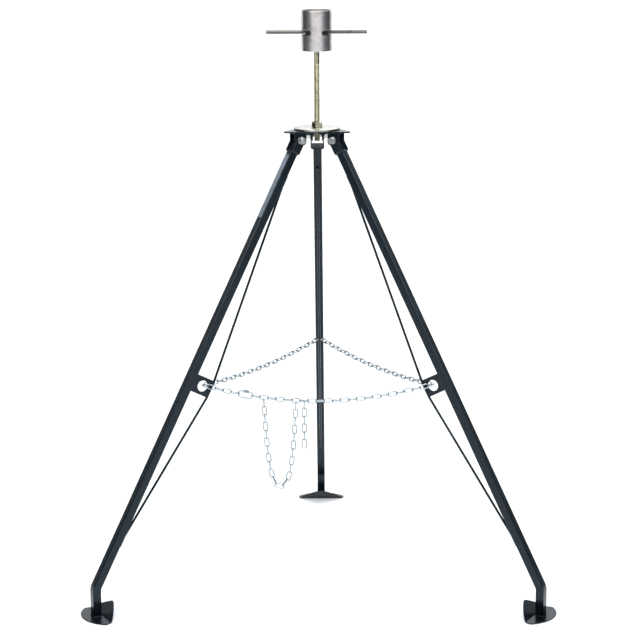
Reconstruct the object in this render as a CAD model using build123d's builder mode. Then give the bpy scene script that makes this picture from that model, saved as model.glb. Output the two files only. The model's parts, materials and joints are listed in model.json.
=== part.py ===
from build123d import *
from math import asinh, atanh, ceil, cos, cosh, radians, sin, sinh, sqrt
import os

# A tripod stand that holds up the king pin of a parked trailer. A cup on a jack screw takes the
# pin, three legs hinge under the head, and a chain through the legs sets how far they spread.
# Millimetres, +Z up. The origin is on the ground, under the screw's axis. The left and right
# legs stand forward (-Y) and the back leg points straight back (+Y).

# ---- overall sizes ----
foot_circle = 656.0          # radius from the screw's axis to a leg's lower end
pivot_circle = 56.0          # radius to the leg hinges
pivot_height = 1185.0
knee_height = 77.0
legs = {"left": 210, "right": 330, "back": 90}

# ---- legs: square tube, truss rod and chain plate, placed along the leg from its hinge ----
tube_width = 22.2
tube_wall = 1.6
tube_corner = 2.5
knee_radius = 30.0
rod_diameter = 6.4
rod_top = 97.0
rod_clearance = 120.0        # from the rod's lower end to the knee
rod_weld = 30.0              # length of each end that lies along the tube
rod_bend = 14.0
plate_start = 655.0
plate_length = 47.0
plate_width = 53.2           # from the tube in to the truss rod
plate_thickness = 3.0
plate_hole = 29.0
plate_hole_inset = 30.6      # from the tube's face to the hole's middle

# ---- foot pads, measured outwards from the leg's lower end ----
pad_thickness = 3.0
pad_reach = 36.0
pad_shoulder = 2.0           # where the pad is widest
pad_half_width = 69.0
pad_corner = 12.0
fold_clearance = 1.9         # from the tube's inner face to the fold
fold_half_width = 64.0
flap_length = 48.0
flap_angle = 44.0
flap_bulge = 3.0             # how far the flap's edges bow out
flap_tip = 6.0

# ---- head ----
screw_diameter = 15.9
running_gap = 0.05           # radial, between the screw and what it turns in
passing_gap = 0.4            # radial, where the screw passes freely
disc_diameter = 120.0
disc_thickness = 5.0
disc_edge = 1.2
head_corner_circle = 106.0   # to the sharp corners of the three-cornered plate
head_corner_radius = 9.0
head_thickness = 4.0
nut_width = 24.0             # across flats
nut_height = 15.4
nut_turn = 13.0

# ---- hinges ----
pivot_drop = 19.5            # from the head plate down to the hinges
bolt_diameter = 10.0
bolt_gap = 0.08              # radial, between the pivot bolt and its holes
bolt_head_width = 17.0       # across flats
bolt_head_height = 6.4
bolt_nut_height = 8.0
bolt_tail = 3.0              # thread that shows past the nut
washer_diameter = 20.0
washer_thickness = 1.6
bracket_gap = 23.0           # between the bracket's ears
bracket_steel = 3.0
bracket_width = 34.0
ear_radius = 14.0            # from the hinge to the bracket ears' lower edge
ear_corner = 9.0
ear_tip_radius = 9.0         # of the yoke's ears
yoke_gap = 0.3               # between the bracket's ears and the yoke's
yoke_steel = 3.2
yoke_width = 24.0
yoke_web = 34.0              # from the hinge to the yoke's web
yoke_corner = 5.0

# ---- king pin cup, with heights from its lower end ----
cup_rise = 197.5             # from the disc up to the cup's lower end
cup_height = 103.0
cup_diameter = 81.0
cup_wall = 2.5
cup_step = 0.5               # the cup is bored out by this much above its floor
slot_middle = 47.0
slot_height = 13.7
slot_reach = 70.0            # degrees each way from the bar
floor_height = 62.0
floor_thickness = 4.0
base_thickness = 4.0
bar_diameter = 9.4
bar_length = 258.0
bar_chamfer = 1.0
screw_chamfer = 1.2
boss_diameter = 32.0
boss_base = 30.0
boss_edge = 1.5
ring_diameter = 40.0         # thrust washer
ring_thickness = 2.5
end_play = 0.3               # of the screw head between the cup's floor and its base
clip_diameter = 25.0
clip_thickness = 3.0
neck_diameter = 14.6
neck_length = 34.0
screw_tail = 26.5            # screw that shows below the head plate
pin_diameter = 5.0           # stop pin through the screw's lower end
pin_length = 30.0
pin_rise = 7.0

# ---- chain ----
wire = 3.2
link_inner_width = 7.6
link_play = 0.25             # slack between two links
hole_gap = 0.3               # between a chain plate's hole and the link in it
front_sag = 40.0
side_sag = 15.0
link_inner_length = 21.35
quick_wire = 3.6
quick_inner_length = 34.0
quick_inner_width = 13.0
sleeve_width = 7.5           # across flats
sleeve_length = 15.0
sleeve_gap = 0.05            # radial, between the sleeve and the quick link's thread
links_before_quick = 4
loop_start = 1               # links after the quick link that the surplus chain hangs from
loop_end = 5
loop_links = 23
tail_start = 6
tail_links = 6

# ---- worked out from the sizes above ----
up = Vector(0, 0, 1)
leg_run = Vector(foot_circle - pivot_circle, 0, knee_height - pivot_height)
down_leg = leg_run.normalized()
inwards = Vector(down_leg.Z, 0, -down_leg.X)
hinge_point = Vector(pivot_circle, 0, pivot_height)
rod_close = (tube_width + rod_diameter) / 2
rod_offset = tube_width / 2 + plate_width + rod_diameter / 2
rod_bottom = leg_run.length - rod_clearance
head_underside = pivot_height + pivot_drop
disc_top = head_underside + head_thickness + disc_thickness
cup_bottom = disc_top + cup_rise
screw_end = head_underside - screw_tail
bracket_outer = bracket_gap + 2 * bracket_steel
yoke_inner = bracket_outer + 2 * yoke_gap
yoke_outer = yoke_inner + 2 * yoke_steel
bolt_hole = bolt_diameter / 2 + bolt_gap
screw_radius = screw_diameter / 2
cup_inside = cup_diameter / 2 - cup_wall
cup_lower_inside = cup_inside - cup_step
floor_top = cup_bottom + floor_height + floor_thickness
bar_height = cup_bottom + slot_middle
boss_top = floor_height - end_play - ring_thickness
link_bend = (link_inner_width + wire) / 2

os.makedirs("parts", exist_ok=True)


def save(piece, name):
    """Label a finished piece and write it as its own file."""
    piece.label = name
    export_step(piece, f"parts/{name}.step")


def save_on_each_leg(blank, name):
    """Write one turned copy of a piece for each leg, from a blank made for a leg along +X."""
    for side, azimuth in legs.items():
        with BuildPart() as piece:
            with Locations(Rotation(0, 0, azimuth)):
                add(blank.part)
        save(piece.part, f"{name}_{side}")


def along_leg(distance, inset=0.0):
    """A point this far down the leg from its hinge, and this far in from the tube's axis."""
    return hinge_point + down_leg * distance + inwards * inset


# ======== king pin cup and screw ========

with BuildPart() as king_pin_cup:
    with BuildSketch(Plane.XY.offset(cup_bottom)):
        Circle(cup_diameter / 2)
        Circle(cup_lower_inside, mode=Mode.SUBTRACT)
    extrude(amount=cup_height)
    with BuildSketch(Plane.XY.offset(floor_top)):
        Circle(cup_inside)
    extrude(amount=cup_bottom + cup_height - floor_top, mode=Mode.SUBTRACT)
    # the turning bar swings in a slot on each side
    for middle in (0, 180):
        with BuildSketch(Plane.XY.offset(bar_height - slot_height / 2)):
            with BuildLine():
                inner = CenterArc((0, 0), cup_lower_inside - 1, middle - slot_reach, 2 * slot_reach)
                outer = CenterArc((0, 0), cup_diameter / 2 + 1, middle - slot_reach, 2 * slot_reach)
                Line(inner @ 0, outer @ 0)
                Line(inner @ 1, outer @ 1)
            make_face()
        extrude(amount=slot_height, mode=Mode.SUBTRACT)
save(king_pin_cup.part, "king_pin_cup")

# the plate that the king pin rests on, welded into the cup, level with the step in its bore
with BuildPart() as cup_floor:
    with BuildSketch(Plane.XY.offset(cup_bottom + floor_height)):
        Circle(cup_lower_inside)
    extrude(amount=floor_thickness)
save(cup_floor.part, "cup_floor")

# the ring at the cup's lower end, which holds it on the screw
with BuildPart() as cup_base:
    with BuildSketch(Plane.XY.offset(cup_bottom)):
        Circle(cup_lower_inside)
        Circle(neck_diameter / 2 + passing_gap, mode=Mode.SUBTRACT)
    extrude(amount=base_thickness)
save(cup_base.part, "cup_base")

with BuildPart() as thrust_washer:
    with BuildSketch(Plane.XY.offset(cup_bottom + boss_top)):
        Circle(ring_diameter / 2)
    extrude(amount=ring_thickness)
save(thrust_washer.part, "thrust_washer")

# cross-drilled head on the screw's neck: the turning bar runs through both
with BuildPart() as screw_head:
    with BuildSketch(Plane.XY.offset(cup_bottom + boss_base)):
        Circle(boss_diameter / 2)
        Circle(neck_diameter / 2, mode=Mode.SUBTRACT)
    extrude(amount=boss_top - boss_base)
    chamfer(screw_head.edges().filter_by(GeomType.CIRCLE).group_by(SortBy.RADIUS)[-1], boss_edge)
    with BuildSketch(Plane.YZ):
        with Locations((0, bar_height)):
            Circle(bar_diameter / 2)
    extrude(amount=boss_diameter, both=True, mode=Mode.SUBTRACT)
save(screw_head.part, "screw_head")

with BuildPart() as turning_bar:
    with BuildSketch(Plane.YZ):
        with Locations((0, bar_height)):
            Circle(bar_diameter / 2)
    extrude(amount=bar_length / 2, both=True)
    chamfer(turning_bar.edges().filter_by(GeomType.CIRCLE), bar_chamfer)
save(turning_bar.part, "turning_bar")

neck_start = cup_bottom - neck_length

with BuildPart() as jack_screw:
    with BuildSketch(Plane.XY.offset(screw_end)):
        Circle(screw_radius)
    extrude(amount=neck_start - screw_end)
    chamfer(jack_screw.faces().sort_by(Axis.Z)[0].edges(), screw_chamfer)
    with BuildSketch(Plane.XY.offset(neck_start)):
        Circle(neck_diameter / 2)
    extrude(amount=cup_bottom + boss_top - neck_start)
    with BuildSketch(Plane.YZ):
        with Locations((0, bar_height)):
            Circle(bar_diameter / 2)
    extrude(amount=screw_diameter, both=True, mode=Mode.SUBTRACT)
    with BuildSketch(Plane.XZ):
        with Locations((0, screw_end + pin_rise)):
            Circle(pin_diameter / 2)
    extrude(amount=screw_diameter, both=True, mode=Mode.SUBTRACT)
save(jack_screw.part, "jack_screw")

# split ring under the cup's base
with BuildPart() as retaining_clip:
    with BuildSketch(Plane.XY.offset(cup_bottom - end_play - clip_thickness)):
        Circle(clip_diameter / 2)
        Circle(neck_diameter / 2, mode=Mode.SUBTRACT)
        with Locations((0, clip_diameter / 2)):
            Rectangle(clip_thickness, clip_diameter, mode=Mode.SUBTRACT)
    extrude(amount=clip_thickness)
save(retaining_clip.part, "retaining_clip")

# keeps the screw from being wound right out of its nut
with BuildPart() as stop_pin:
    with BuildSketch(Plane.XZ):
        with Locations((0, screw_end + pin_rise)):
            Circle(pin_diameter / 2)
    extrude(amount=pin_length / 2, both=True)
save(stop_pin.part, "stop_pin")

# ======== head ========


def nut_crown(across_flats, top):
    """The ring that a shallow cone takes off the corners at a nut's top face."""
    corner = across_flats / sqrt(3)
    drop = corner - across_flats / 2
    with BuildPart() as crown:
        with BuildSketch(Plane.XZ):
            Polygon(
                (across_flats / 2, top),
                (corner + drop, top),
                (corner + drop, top - 2 * drop),
                align=None,
            )
        revolve(axis=Axis.Z)
    return crown.part


with BuildPart() as lift_nut:
    with BuildSketch(Plane.XY.offset(disc_top)):
        RegularPolygon(nut_width / 2, 6, major_radius=False, rotation=nut_turn)
        Circle(screw_radius + running_gap, mode=Mode.SUBTRACT)
    extrude(amount=nut_height)
    add(nut_crown(nut_width, disc_top + nut_height), mode=Mode.SUBTRACT)
save(lift_nut.part, "lift_nut")

with BuildPart() as top_disc:
    with BuildSketch(Plane.XY.offset(disc_top - disc_thickness)):
        Circle(disc_diameter / 2)
        Circle(screw_radius + passing_gap, mode=Mode.SUBTRACT)
    extrude(amount=disc_thickness)
    fillet(top_disc.edges().filter_by(GeomType.CIRCLE).group_by(SortBy.RADIUS)[-1], disc_edge)
save(top_disc.part, "top_disc")

# a three-cornered plate with a corner over each leg
with BuildPart() as head_plate:
    with BuildSketch(Plane.XY.offset(head_underside)) as corners:
        RegularPolygon(head_corner_circle, 3, rotation=legs["back"])
        fillet(corners.vertices(), head_corner_radius)
        Circle(screw_radius + passing_gap, mode=Mode.SUBTRACT)
    extrude(amount=head_thickness)
save(head_plate.part, "head_plate")

# ======== hinges ========

with BuildPart() as hinge_bracket:
    with BuildSketch(Plane.YZ.offset(pivot_circle - bracket_width / 2)):
        with Locations((0, head_underside)):
            Rectangle(bracket_outer, pivot_drop + ear_radius, align=(Align.CENTER, Align.MAX))
        with Locations((0, head_underside - bracket_steel)):
            Rectangle(
                bracket_gap,
                pivot_drop + ear_radius,
                align=(Align.CENTER, Align.MAX),
                mode=Mode.SUBTRACT,
            )
    extrude(amount=bracket_width)
    fillet(hinge_bracket.edges().filter_by(Axis.Y).group_by(Axis.Z)[0], ear_corner)
    with BuildSketch(Plane.XZ):
        with Locations((pivot_circle, pivot_height)):
            Circle(bolt_hole)
    extrude(amount=bracket_outer, both=True, mode=Mode.SUBTRACT)
save_on_each_leg(hinge_bracket, "hinge_bracket")

# A U strap: its web closes the tube's upper end and its ears straddle the bracket. In this
# plane x runs across the leg and y runs down it from the hinge.
yoke_plane = Plane(origin=hinge_point - inwards * yoke_width / 2, x_dir=(0, 1, 0), z_dir=inwards)

with BuildPart() as leg_yoke:
    with BuildSketch(yoke_plane):
        with Locations((0, yoke_web + yoke_steel)):
            Rectangle(
                yoke_outer,
                yoke_web + yoke_steel + yoke_width / 2,
                align=(Align.CENTER, Align.MAX),
            )
        with Locations((0, yoke_web)):
            Rectangle(
                yoke_inner,
                yoke_web + yoke_width,
                align=(Align.CENTER, Align.MAX),
                mode=Mode.SUBTRACT,
            )
    extrude(amount=yoke_width)
    crosswise = leg_yoke.edges().filter_by(Axis.Y)
    fillet(crosswise.sort_by(Axis(hinge_point, down_leg))[:4], ear_tip_radius)
    bends = leg_yoke.edges().filter_by(Axis(hinge_point, inwards)).sort_by(Axis(hinge_point, down_leg))
    fillet(bends[-2:], yoke_corner)
    with BuildSketch(Plane.XZ):
        with Locations((pivot_circle, pivot_height)):
            Circle(bolt_hole)
    extrude(amount=yoke_outer, both=True, mode=Mode.SUBTRACT)
save_on_each_leg(leg_yoke, "leg_yoke")

# a washer lies against each ear of the yoke
washer_seat = yoke_outer / 2
head_seat = washer_seat + washer_thickness

with BuildPart() as pivot_washers:
    for seat in (washer_seat, -washer_seat - washer_thickness):
        with BuildSketch(Plane.XZ.offset(seat)):
            with Locations((pivot_circle, pivot_height)):
                Circle(washer_diameter / 2)
                Circle(bolt_hole, mode=Mode.SUBTRACT)
        extrude(amount=washer_thickness)
save_on_each_leg(pivot_washers, "pivot_washers")

bolt_axis = Plane.XZ.shift_origin((pivot_circle, 0, pivot_height))

with BuildPart() as pivot_bolt:
    with BuildSketch(bolt_axis.offset(-head_seat - bolt_nut_height - bolt_tail)):
        Circle(bolt_diameter / 2)
    extrude(amount=2 * head_seat + bolt_nut_height + bolt_tail)
    with BuildSketch(bolt_axis.offset(head_seat)):
        RegularPolygon(bolt_head_width / 2, 6, major_radius=False)
    extrude(amount=bolt_head_height)
save_on_each_leg(pivot_bolt, "pivot_bolt")

with BuildPart() as pivot_nut:
    with BuildSketch(bolt_axis.offset(-head_seat - bolt_nut_height)):
        RegularPolygon(bolt_head_width / 2, 6, major_radius=False)
        Circle(bolt_diameter / 2, mode=Mode.SUBTRACT)
    extrude(amount=bolt_nut_height)
save_on_each_leg(pivot_nut, "pivot_nut")

# ======== legs ========

with BuildPart() as leg_tube:
    with BuildLine() as leg_line:
        FilletPolyline(
            along_leg(yoke_web + yoke_steel),
            (foot_circle, 0, knee_height),
            (foot_circle, 0, pad_thickness),
            radius=knee_radius,
        )
    with BuildSketch(Plane(origin=leg_line.line @ 0, x_dir=(0, 1, 0), z_dir=down_leg)):
        RectangleRounded(tube_width, tube_width, tube_corner)
        RectangleRounded(
            tube_width - 2 * tube_wall,
            tube_width - 2 * tube_wall,
            tube_corner - tube_wall,
            mode=Mode.SUBTRACT,
        )
    sweep(path=leg_line.wire())
save_on_each_leg(leg_tube, "leg_tube")

# Each end of the truss rod lies along the tube, and between its two upper bends it runs
# straight along the chain plate.
with BuildPart() as truss_rod:
    with BuildLine() as rod_line:
        FilletPolyline(
            along_leg(rod_top, rod_close),
            along_leg(rod_top + rod_weld, rod_close),
            along_leg(plate_start, rod_offset),
            along_leg(plate_start + plate_length, rod_offset),
            along_leg(rod_bottom - rod_weld, rod_close),
            along_leg(rod_bottom, rod_close),
            radius=rod_bend,
        )
    with BuildSketch(Plane(origin=rod_line.line @ 0, x_dir=(0, 1, 0), z_dir=down_leg)):
        Circle(rod_diameter / 2)
    sweep(path=rod_line.wire())
save_on_each_leg(truss_rod, "truss_rod")

# local x runs down the leg and local y in from the tube's axis
leg_side = Plane(origin=hinge_point, x_dir=down_leg, z_dir=(0, 1, 0))
plate_middle = plate_start + plate_length / 2
hole_inset = tube_width / 2 + plate_hole_inset

with BuildPart() as chain_plate:
    with BuildSketch(leg_side.offset(-plate_thickness / 2)):
        with Locations((plate_middle, tube_width / 2)):
            Rectangle(plate_length, plate_width, align=(Align.CENTER, Align.MIN))
        with Locations((plate_middle, hole_inset)):
            Circle(plate_hole / 2, mode=Mode.SUBTRACT)
    extrude(amount=plate_thickness)
save_on_each_leg(chain_plate, "chain_plate")

# ======== foot pads ========

fold = foot_circle - tube_width / 2 - fold_clearance
flap_rise = radians(flap_angle)
flap_plane = Plane(
    origin=(fold, 0, 0),
    x_dir=(-cos(flap_rise), 0, sin(flap_rise)),
    z_dir=(sin(flap_rise), 0, cos(flap_rise)),
)

with BuildPart() as foot_pad:
    with BuildSketch() as sole:
        with BuildLine():
            shoulder = foot_circle + pad_shoulder
            Polyline(
                (shoulder, pad_half_width),
                (fold, fold_half_width),
                (fold, -fold_half_width),
                (shoulder, -pad_half_width),
            )
            ThreePointArc(
                (shoulder, -pad_half_width),
                (foot_circle + pad_reach, 0),
                (shoulder, pad_half_width),
            )
        make_face()
        fillet(sole.vertices().group_by(Axis.X)[-1], pad_corner)
    extrude(amount=pad_thickness)
    # the inner half is bent up from the fold and narrows to a rounded tip
    with BuildSketch(flap_plane) as flap:
        with BuildLine():
            Line((0, -fold_half_width), (0, fold_half_width))
            for side in (1, -1):
                ThreePointArc(
                    (0, side * fold_half_width),
                    (flap_length / 2 + flap_bulge, side * (fold_half_width / 2 + flap_bulge)),
                    (flap_length, 0),
                )
        make_face()
        fillet(flap.vertices().sort_by(Axis.X)[-1], flap_tip)
    extrude(amount=pad_thickness)
save_on_each_leg(foot_pad, "foot_pad")

# ======== chain ========


def ring_of_wire(inner_length, inner_width, thickness):
    """A long link in the XY plane with its middle at the origin and its length along X."""
    bend = (inner_width + thickness) / 2
    half_straight = (inner_length - inner_width) / 2
    with BuildPart() as ring:
        with BuildLine() as middle_line:
            Line((-half_straight, bend), (half_straight, bend))
            ThreePointArc((half_straight, bend), (half_straight + bend, 0), (half_straight, -bend))
            Line((half_straight, -bend), (-half_straight, -bend))
            ThreePointArc((-half_straight, -bend), (-half_straight - bend, 0), (-half_straight, bend))
        with BuildSketch(Plane(origin=(0, bend, 0), z_dir=(1, 0, 0))):
            Circle(thickness / 2)
        sweep(path=middle_line.wire())
    return ring.part


def hanging_line(start, end, length):
    """The line of a chain of this length hung between two points.

    Returns a function that gives the point at a distance along the chain from its start. The
    line is a catenary: height = scale * cosh(distance from its lowest point / scale), where the
    scale solves sinh(u) / u = sqrt(length² - rise²) / span, with u = span / (2 * scale).
    """
    level = Vector(end.X - start.X, end.Y - start.Y, 0)
    span = level.length
    rise = end.Z - start.Z
    wanted = sqrt(length**2 - rise**2) / span
    low, high = 0.001, 20.0
    for _ in range(60):
        guess = (low + high) / 2
        if sinh(guess) / guess < wanted:
            low = guess
        else:
            high = guess
    scale = span / (low + high)
    lowest = span / 2 - scale * atanh(rise / length)

    def point_at(distance):
        along = lowest + scale * asinh(distance / scale - sinh(lowest / scale))
        height = scale * (cosh((along - lowest) / scale) - cosh(lowest / scale))
        return start + level.normalized() * along + up * height

    return point_at


def links_along(point_at, across, lengths, roll, step):
    """A plane for each link of a run: x along the link, y across it and z through its opening.

    Each link is a straight stretch of the line, rolled by one step from the link before. At a
    roll of 0 it lies flat, its width across the run, and at 90 degrees it stands on edge.
    """
    planes = []
    distance = 0
    for length in lengths:
        near, far = point_at(distance), point_at(distance + length)
        along = (far - near).normalized()
        width = across * cos(radians(roll)) + across.cross(along) * sin(radians(roll))
        planes.append(Plane(origin=(near + far) / 2, x_dir=along, z_dir=along.cross(width)))
        distance += length
        roll += step
    return planes


def even_step(first_roll, last_roll, steps):
    """The step nearest to 90 degrees that leads from one link's roll to another's."""
    half_turns = round((90 * steps - (last_roll - first_roll)) / 180)
    return (last_roll - first_roll + 180 * half_turns) / steps


def side_wire(plane, direction):
    """The middle of the long side of a link that faces this way."""
    facing = 1 if plane.y_dir.dot(direction) > 0 else -1
    return plane.origin + plane.y_dir * facing * link_bend


def save_links(planes, name):
    """Write the links that stand on these planes as one piece of chain."""
    with BuildPart() as run:
        with Locations(*[Location(plane) for plane in planes]):
            add(chain_link)
    save(run.part, name)


chain_link = ring_of_wire(link_inner_length, link_inner_width, wire)

# The chain passes through each chain plate. The link in the hole lies flat against its inner
# edge, and its ends stand out on both sides of the plate.
hole_link_shift = plate_hole / 2 - hole_gap - link_inner_width / 2 - wire
hole_link_middle = along_leg(plate_middle, hole_inset) - Vector(hole_link_shift, 0, 0)

with BuildPart() as hole_link:
    with Locations(Plane(origin=hole_link_middle, x_dir=(0, 1, 0), z_dir=up)):
        add(chain_link)
save_on_each_leg(hole_link, "hole_link")


def span_between(first, second):
    """The two ends of the chain between two legs, each just outside the link in the hole."""
    middles = [hole_link_middle.rotate(Axis.Z, legs[side]) for side in (first, second)]
    towards = (middles[1] - middles[0]).normalized()
    ends = []
    for side, middle, heading in zip((first, second), middles, (towards, -towards)):
        sideways = Vector(0, 1, 0).rotate(Axis.Z, legs[side])
        if sideways.dot(heading) < 0:
            sideways = -sideways
        bend_middle = middle + sideways * (link_inner_length - link_inner_width) / 2
        ends.append(bend_middle + heading * (link_inner_width / 2 - link_play))
    return ends


def slack_length(start, end, sag):
    """Length of a chain that hangs this far below the straight line between its ends."""
    span = (end - start).length
    return span + 8 * sag**2 / (3 * span)


def link_count(length):
    """Links that cover this length without being pulled past their play."""
    return ceil(length / (link_inner_length - link_play))


# ---- the two side spans, each in two halves that stay with their own legs ----
for side in ("left", "right"):
    start, end = span_between(side, "back")
    length = slack_length(start, end, side_sag)
    count = link_count(length)
    across = up.cross(end - start).normalized()
    planes = links_along(
        hanging_line(start, end, length),
        across,
        [length / count] * count,
        roll=90,
        step=even_step(0, 0, count + 1),
    )
    save_links(planes[: count // 2], f"{side}_chain_front_half")
    save_links(planes[count // 2 :], f"{side}_chain_back_half")

# ---- the front span, with the quick link and the surplus chain ----
start, end = span_between("left", "right")
length = slack_length(start, end, front_sag)
quick_length = quick_inner_length - link_play
plain_links = link_count(length - quick_length)
pitch = (length - quick_length) / plain_links
across = up.cross(end - start).normalized()
front_line = hanging_line(start, end, length)
before_quick = [pitch] * links_before_quick
after_quick = [pitch] * (plain_links - links_before_quick)

first_step = even_step(0, 90, links_before_quick + 1)
first_links = links_along(front_line, across, before_quick + [quick_length], first_step, first_step)
quick_plane = first_links.pop()


def after_the_quick_link(distance):
    """The point this far along the front span from the quick link's end."""
    return front_line(sum(before_quick) + quick_length + distance)


last_step = even_step(90, 0, len(after_quick) + 1)
last_links = links_along(after_the_quick_link, across, after_quick, 90 + last_step, last_step)
left_share = round((length / 2 - sum(before_quick) - quick_length) / pitch)
save_links(first_links + last_links[:left_share], "front_chain_left_half")
save_links(last_links[left_share:], "front_chain_right_half")

quick_bend = (quick_inner_width + quick_wire) / 2
sleeve_side = 1 if quick_plane.y_dir.Z > 0 else -1

with BuildPart() as quick_link:
    with Locations(quick_plane):
        add(ring_of_wire(quick_inner_length, quick_inner_width, quick_wire))
save(quick_link.part, "quick_link")

# the threaded sleeve that closes the quick link, on its upper side
sleeve_plane = Plane(
    origin=quick_plane.origin + quick_plane.y_dir * sleeve_side * quick_bend,
    z_dir=quick_plane.x_dir,
)

with BuildPart() as quick_link_sleeve:
    with BuildSketch(sleeve_plane):
        RegularPolygon(sleeve_width / 2, 6, major_radius=False)
        Circle(quick_wire / 2 + sleeve_gap, mode=Mode.SUBTRACT)
    extrude(amount=sleeve_length / 2, both=True)
save(quick_link_sleeve.part, "quick_link_sleeve")

# The chain left over hangs in a loop from two links of the front span, and its last links hang
# straight down beside the loop. The loop bends sharply at its lowest link, so its links meet
# where they turn: at the middles of the end bends of each link that faces forward.
facing_length = link_inner_length - link_inner_width
edgewise_length = 2 * (link_inner_length - link_play) - facing_length
loop_lengths = [edgewise_length, facing_length] * (loop_links // 2) + [edgewise_length]


def hung_from(place, direction, first_length):
    """Where a run starts whose first link hangs on the side of a front link that faces this way."""
    seat = (first_length - link_inner_length + wire) / 2 + link_play
    return side_wire(last_links[place], direction) + up * seat


loop_line = hanging_line(
    hung_from(loop_start, -up, edgewise_length),
    hung_from(loop_end, -up, edgewise_length),
    sum(loop_lengths),
)
save_links(links_along(loop_line, across, loop_lengths, roll=0, step=90), "surplus_loop")

tail_top = hung_from(tail_start, -across, pitch)


def tail_line(distance):
    """The point this far down the tail."""
    return tail_top - up * distance


save_links(links_along(tail_line, across, [pitch] * tail_links, roll=0, step=90), "surplus_tail")
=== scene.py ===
# %% [markdown]
# # A tripod stand for a trailer's king pin
#
# The stand has three square-tube legs that fold under a steel head, a screw jack with a cup on
# top that takes the pin of a parked trailer, and a chain that ties the legs together. The
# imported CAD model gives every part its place. This lesson puts a real surface on each of them.

# %% Load the frame
import json
from math import atan2, cos, pi, radians, sin, tan

import bpy
import numpy as np
from mathutils import Matrix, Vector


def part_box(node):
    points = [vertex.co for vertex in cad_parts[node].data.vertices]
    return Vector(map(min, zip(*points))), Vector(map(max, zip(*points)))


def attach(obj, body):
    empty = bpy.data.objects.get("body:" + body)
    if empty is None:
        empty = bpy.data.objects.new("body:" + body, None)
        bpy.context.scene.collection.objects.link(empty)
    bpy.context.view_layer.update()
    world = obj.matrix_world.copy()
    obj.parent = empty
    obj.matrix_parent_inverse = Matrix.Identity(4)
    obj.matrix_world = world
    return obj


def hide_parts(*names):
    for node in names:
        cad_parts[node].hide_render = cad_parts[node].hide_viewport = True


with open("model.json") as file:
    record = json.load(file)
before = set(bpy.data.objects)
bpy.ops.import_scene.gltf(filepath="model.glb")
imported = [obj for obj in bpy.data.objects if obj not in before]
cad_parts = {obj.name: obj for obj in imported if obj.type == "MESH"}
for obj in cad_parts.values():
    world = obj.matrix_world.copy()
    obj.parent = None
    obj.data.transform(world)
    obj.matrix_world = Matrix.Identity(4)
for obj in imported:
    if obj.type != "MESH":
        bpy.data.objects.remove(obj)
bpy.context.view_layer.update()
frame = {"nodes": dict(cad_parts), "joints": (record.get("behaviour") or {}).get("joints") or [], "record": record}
record = frame["record"]
body_of = {node: body for body, nodes in record["behaviour"]["bodies"].items() for node in nodes}
slot_of = {part["node"]: part["material_slot"] for part in record["subparts"]}

# %% [markdown]
# Sizes are in metres, and repeat the ones that the CAD was made to. A leg is easiest to draw
# in its own upright plane: how far down the leg from its hinge, how far in from the tube's
# middle line, and how far to one side. One turn about Z then puts it at its own azimuth.

# %% Where the legs stand
MM = 0.001
hinges = {
    joint["child"][: -len("_leg")]: joint["pos_m"]
    for joint in frame["joints"]
    if joint["name"].endswith("_leg_fold")
}
azimuths = {side: atan2(place[1], place[0]) for side, place in hinges.items()}
pivot_circle = float(np.hypot(*hinges["back"][:2]))
pivot_height = hinges["back"][2]
foot_circle, knee_height = 656 * MM, 77 * MM
lean = np.array([foot_circle - pivot_circle, 0, knee_height - pivot_height])
down_leg = lean / np.linalg.norm(lean)
inwards = np.array([down_leg[2], 0, -down_leg[0]])
sideways = np.array([0.0, 1.0, 0.0])
hinge = np.array([pivot_circle, 0, pivot_height])


def along_leg(down, inset=0.0, side=0.0):
    """The point hinge + down * leg direction + inset * inward direction + side * Y."""
    return hinge + down * down_leg + inset * inwards + side * sideways


def turned_to(points, azimuth):
    """Points turned about Z: x' = x cos a - y sin a, y' = x sin a + y cos a."""
    c, s = cos(azimuth), sin(azimuth)
    return points @ np.array([[c, s, 0], [-s, c, 0], [0, 0, 1]])


print("leg azimuths:", {side: round(np.degrees(a)) for side, a in azimuths.items()})

# %% [markdown]
# Almost every new piece here is one kind of surface: rings of points, carried from station to
# station. It could be drawn with Blender's curves or lathe tools, but a grid of points keeps
# the formula in sight. Rings run counter-clockwise about the way they travel, so that faces
# point outwards. A tube has flat ends, and a loop, such as a chain link, closes on itself.

# %% From rings of points to a mesh piece
def shell(rings, loop=False):
    """Vertices and faces of tubes given as an array (copies, stations, around, 3)."""
    rings = np.asarray(rings, float)
    if rings.ndim == 3:
        rings = rings[None]
    copies, stations, around, _ = rings.shape
    i = np.arange(stations if loop else stations - 1)[:, None]
    j = np.arange(around)[None, :]
    after, beside = (i + 1) % stations, (j + 1) % around
    quads = np.stack(
        [i * around + j, i * around + beside, after * around + beside, after * around + j], -1
    ).reshape(-1, 4)
    first = np.arange(copies)[:, None, None] * stations * around
    faces = (quads[None] + first).reshape(-1, 4).tolist()
    if not loop:
        start = np.arange(around)[::-1]
        end = (stations - 1) * around + np.arange(around)
        faces += (np.stack([start, end])[None] + first).reshape(-1, around).tolist()
    return rings.reshape(-1, 3), faces


def make_piece(name, shells, like, finish, stands_for=(), crease=40):
    """One mesh object from some shells. It rides on the body of the node that it is like."""
    vertices, faces = [], []
    for points, cells in shells:
        offset = sum(map(len, vertices))
        vertices.append(points)
        faces += [[corner + offset for corner in cell] for cell in cells]
    mesh = bpy.data.meshes.new(name)
    mesh.from_pydata(np.concatenate(vertices), [], faces)
    mesh.validate()
    mesh.shade_smooth()
    mesh.set_sharp_from_angle(angle=radians(crease))
    mesh.materials.append(finish)
    piece = bpy.data.objects.new(name, mesh)
    bpy.context.scene.collection.objects.link(piece)
    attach(piece, body_of[like])
    if stands_for:
        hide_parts(*stands_for)
    print(f"{name}: {len(mesh.polygons)} faces")
    return piece


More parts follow.
